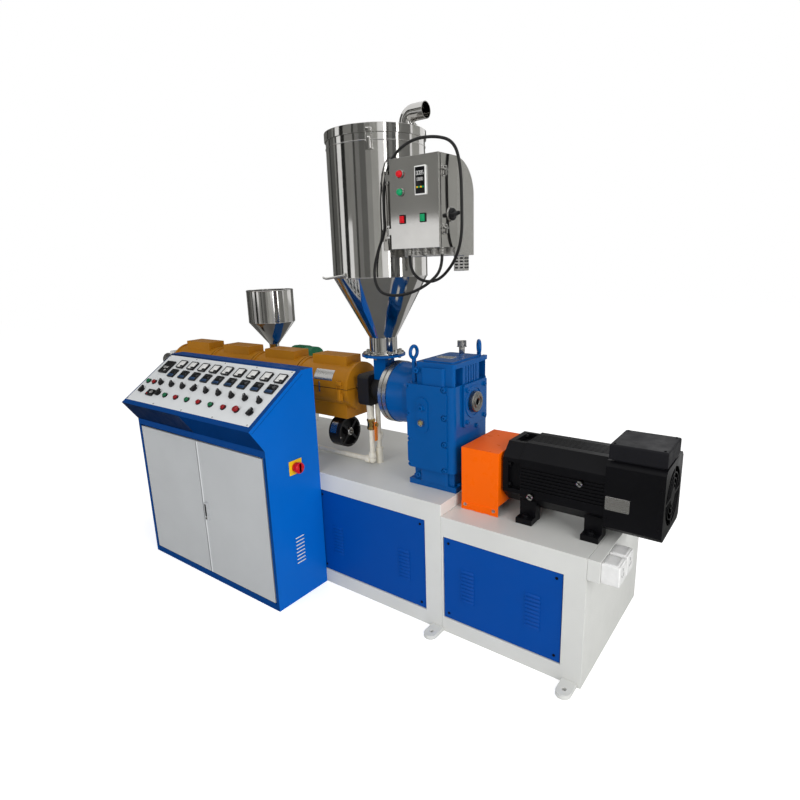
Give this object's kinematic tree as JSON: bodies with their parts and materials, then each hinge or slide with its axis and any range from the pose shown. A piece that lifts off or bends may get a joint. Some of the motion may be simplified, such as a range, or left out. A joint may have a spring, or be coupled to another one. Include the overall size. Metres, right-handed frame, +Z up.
{
  "type": "drinking straw making machine",
  "caption": "Single-screw plastic extruder for drinking straws, with hopper dryer, gearbox and motor drive, water-cooled feed, heated barrel and a control cabinet.",
  "frame": {"origin": "floor point under the crossing of the feed hopper's axis and the screw's axis, on the base's sole", "axes": "+Z up, +X along the screw line towards the drive motor, -Y towards the control cabinet and operator"},
  "size_m": [3.324, 1.2459, 2.27],
  "materials": {
    "base_paint": "semi-gloss warm white enamel",
    "panel_blue": "semi-gloss deep blue enamel",
    "cabinet_blue": "textured bright blue powder coat",
    "front_navy": "textured navy powder coat",
    "door_grey": "light grey powder coat",
    "gear_blue": "gloss blue enamel on castings",
    "guard_orange": "gloss orange enamel",
    "motor_black": "satin black enamel",
    "cover_gold": "satin ochre gold enamel",
    "stainless": "polished stainless steel",
    "steel": "machined steel",
    "feed_black": "black iron",
    "pvc": "cream plastic pipe",
    "brass": "brass",
    "lever_orange": "orange dipped plastic",
    "socket_white": "white moulded plastic",
    "motor_green": "green enamel",
    "panel_white": "satin white coated aluminium",
    "instrument_black": "black moulded plastic",
    "switch_yellow": "yellow plastic",
    "switch_red": "red plastic",
    "cable_black": "black cable sheath"
  },
  "bodies": {
    "machine": {"anchor_lugs": "base_paint", "barrel_base": "base_paint", "barrel_blowers": "motor_black", "barrel_support": "base_paint", "barrel_tube": "steel", "bell_flange_ring": "steel", "cabinet_door_frame": "front_navy", "cabinet_shell": "cabinet_blue", "co_barrel": "steel", "co_gearbox": "gear_blue", "co_hopper": "stainless", "co_motor": "motor_green", "co_stand": "base_paint", "control_panel_plate": "panel_white", "coupling_guard": "guard_orange", "die_head": "steel", "drive_base": "base_paint", "drive_coupling": "steel", "dryer_air_housing": "stainless", "dryer_control_box": "stainless", "dryer_cord": "cable_black", "dryer_lid": "stainless", "dryer_outlet": "stainless", "dryer_vessel": "stainless", "exhaust_elbow": "stainless", "feed_block": "feed_black", "feed_throat": "gear_blue", "front_panels": "panel_blue", "gearbox_bell": "gear_blue", "gearbox_breather": "steel", "gearbox_cap": "gear_blue", "gearbox_eye_bolts": "gear_blue", "gearbox_housing": "gear_blue", "gearbox_rear_cover": "gear_blue", "gearbox_sole": "gear_blue", "heater_cover_1": "cover_gold", "heater_cover_2": "cover_gold", "heater_cover_3": "cover_gold", "heater_cover_4": "cover_gold", "main_switch_plate": "switch_yellow", "motor_cowl": "motor_black", "motor_frame": "motor_black", "motor_terminal_box": "motor_black", "panel_buttons": "instrument_black", "panel_knobs": "instrument_black", "panel_meters": "instrument_black", "rear_panels": "panel_blue", "socket_bracket": "base_paint", "socket_outlets": "socket_white", "water_return_pipe": "pvc", "water_supply_pipe": "pvc", "water_valve": "brass"},
    "cabinet_left_door": {"cabinet_left_door": "door_grey"},
    "cabinet_right_door": {"cabinet_right_door": "door_grey"},
    "main_switch_knob": {"main_switch_knob": "switch_red"},
    "dryer_box_door": {"dryer_box_door": "stainless"},
    "valve_lever": {"valve_lever": "lever_orange"},
    "motor_fan": {"motor_fan": "motor_black"},
    "screw_shaft_end": {"screw_shaft_end": "steel"}
  },
  "joints": [
    {"name": "cabinet_left_door_hinge", "type": "hinge", "parent": "machine", "child": "cabinet_left_door", "pos_m": [-1.268, -0.594, 0.4065], "axis": [0, 0, -1], "range_deg": [0, 110]},
    {"name": "cabinet_right_door_hinge", "type": "hinge", "parent": "machine", "child": "cabinet_right_door", "pos_m": [-0.261, -0.594, 0.4065], "axis": [0, 0, 1], "range_deg": [0, 110]},
    {"name": "main_switch_turn", "type": "hinge", "parent": "machine", "child": "main_switch_knob", "pos_m": [-0.217, -0.432, 0.691], "axis": [1, 0, 0], "range_deg": [0, 90]},
    {"name": "dryer_box_door_hinge", "type": "hinge", "parent": "machine", "child": "dryer_box_door", "pos_m": [0.269, -0.269, 1.8425], "axis": [0, 0, -1], "range_deg": [0, 100]},
    {"name": "valve_lever_turn", "type": "hinge", "parent": "machine", "child": "valve_lever", "pos_m": [-0.036, -0.042, 0.8285], "axis": [-1, 0, 0], "range_deg": [0, 90]},
    {"name": "motor_fan_spin", "type": "hinge", "parent": "machine", "child": "motor_fan", "pos_m": [1.176, 0, 0.755], "axis": [1, 0, 0], "continuous": true},
    {"name": "screw_spin", "type": "hinge", "parent": "machine", "child": "screw_shaft_end", "pos_m": [0.493, 0, 1.01], "axis": [1, 0, 0], "continuous": true}
  ]
}
